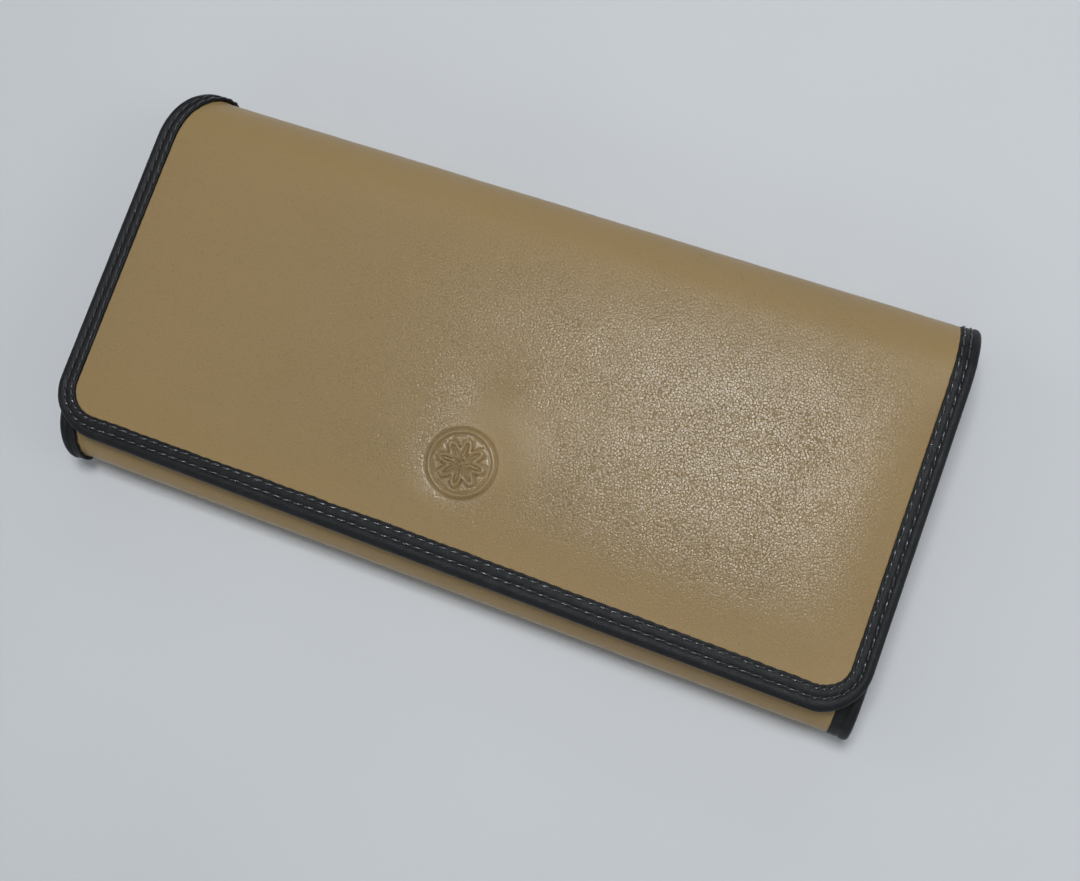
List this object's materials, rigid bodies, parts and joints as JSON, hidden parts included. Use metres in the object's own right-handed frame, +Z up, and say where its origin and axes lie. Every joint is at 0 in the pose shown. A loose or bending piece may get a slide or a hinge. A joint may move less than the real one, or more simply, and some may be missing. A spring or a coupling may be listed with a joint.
{
  "type": "long wallet",
  "caption": "Long flap wallet of smooth leather with bound, double-stitched edges, card slots, bill compartment and zipped coin pocket, closed and lying on its back.",
  "frame": {"origin": "under the middle of the back, on the surface that the wallet lies on", "axes": "+X along the wallet's length, towards the closed end of the zip; +Y towards the top fold that the flap turns about; +Z up, out of the flap"},
  "size_m": [0.19, 0.0896, 0.022],
  "materials": {
    "outer_leather": "satin",
    "binding_leather": "satin",
    "lining_leather": "satin",
    "inner_leather": "satin",
    "stiffener_board": "matte",
    "zip_tape": "matte",
    "zip_metal": "satin",
    "snap_metal": "satin"
  },
  "bodies": {
    "back": {"back_binding_left": "binding_leather", "back_binding_right": "binding_leather", "back_card_slot_left_1": "inner_leather", "back_card_slot_left_2": "inner_leather", "back_card_slot_left_3": "inner_leather", "back_card_slot_right_1": "inner_leather", "back_card_slot_right_2": "inner_leather", "back_card_slot_right_3": "inner_leather", "back_leather": "outer_leather", "back_lining": "lining_leather", "back_stiffener": "stiffener_board", "bottom_fold_binding_left": "binding_leather", "bottom_fold_binding_right": "binding_leather", "bottom_fold_leather": "outer_leather", "bottom_fold_lining": "lining_leather", "gusset_left": "inner_leather", "gusset_right": "inner_leather", "top_fold_binding_left": "binding_leather", "top_fold_binding_right": "binding_leather", "top_fold_leather": "outer_leather", "top_fold_lining": "lining_leather"},
    "front": {"front_binding": "binding_leather", "front_card_slot_left_1": "inner_leather", "front_card_slot_left_2": "inner_leather", "front_card_slot_right_1": "inner_leather", "front_card_slot_right_2": "inner_leather", "front_leather": "outer_leather", "front_lining": "lining_leather", "front_stiffener": "stiffener_board", "snap_stud": "snap_metal", "snap_stud_post": "snap_metal"},
    "flap": {"flap_binding": "binding_leather", "flap_leather": "outer_leather", "flap_lining": "lining_leather", "flap_stiffener": "stiffener_board", "snap_socket": "snap_metal", "snap_socket_post": "snap_metal", "snap_spring": "snap_metal"},
    "coin_pocket": {"coin_pocket_front": "inner_leather", "coin_pocket_rear": "inner_leather", "zip_stops": "zip_metal", "zip_tape_lower": "zip_tape", "zip_tape_upper": "zip_tape", "zip_teeth_lower": "zip_metal", "zip_teeth_upper": "zip_metal"},
    "zip_slider": {"zip_slider": "zip_metal"},
    "zip_puller": {"zip_puller": "zip_metal"}
  },
  "joints": [
    {"name": "flap_hinge", "type": "hinge", "parent": "back", "child": "flap", "pos_m": [0, 0.046, 0.011], "axis": [-1, 0, 0], "range_deg": [0, 178], "deforming": ["top_fold_binding_left", "top_fold_binding_right", "top_fold_leather", "top_fold_lining"]},
    {"name": "front_hinge", "type": "hinge", "parent": "back", "child": "front", "pos_m": [0, -0.0351, 0.0078], "axis": [1, 0, 0], "range_deg": [0, 13], "deforming": ["bottom_fold_binding_left", "bottom_fold_binding_right", "bottom_fold_leather", "bottom_fold_lining", "gusset_left", "gusset_right"]},
    {"name": "pocket_hinge", "type": "hinge", "parent": "back", "child": "coin_pocket", "pos_m": [0, -0.0351, 0.0078], "axis": [1, 0, 0], "range_deg": [0, 6.5]},
    {"name": "zip_slide", "type": "slide", "parent": "coin_pocket", "child": "zip_slider", "axis": [-1, 0, 0], "range_m": [0, 0.128], "deforming": ["zip_tape_lower", "zip_tape_upper", "zip_teeth_lower", "zip_teeth_upper"]},
    {"name": "puller_hinge", "type": "hinge", "parent": "zip_slider", "child": "zip_puller", "pos_m": [0.0624, 0.026, 0.00895], "axis": [0, 1, 0], "range_deg": [0, 42]}
  ],
  "couplings": [
    {"joint": "front_hinge", "follows": "flap_hinge", "ratio": 0.073},
    {"joint": "pocket_hinge", "follows": "flap_hinge", "ratio": 0.0365}
  ]
}
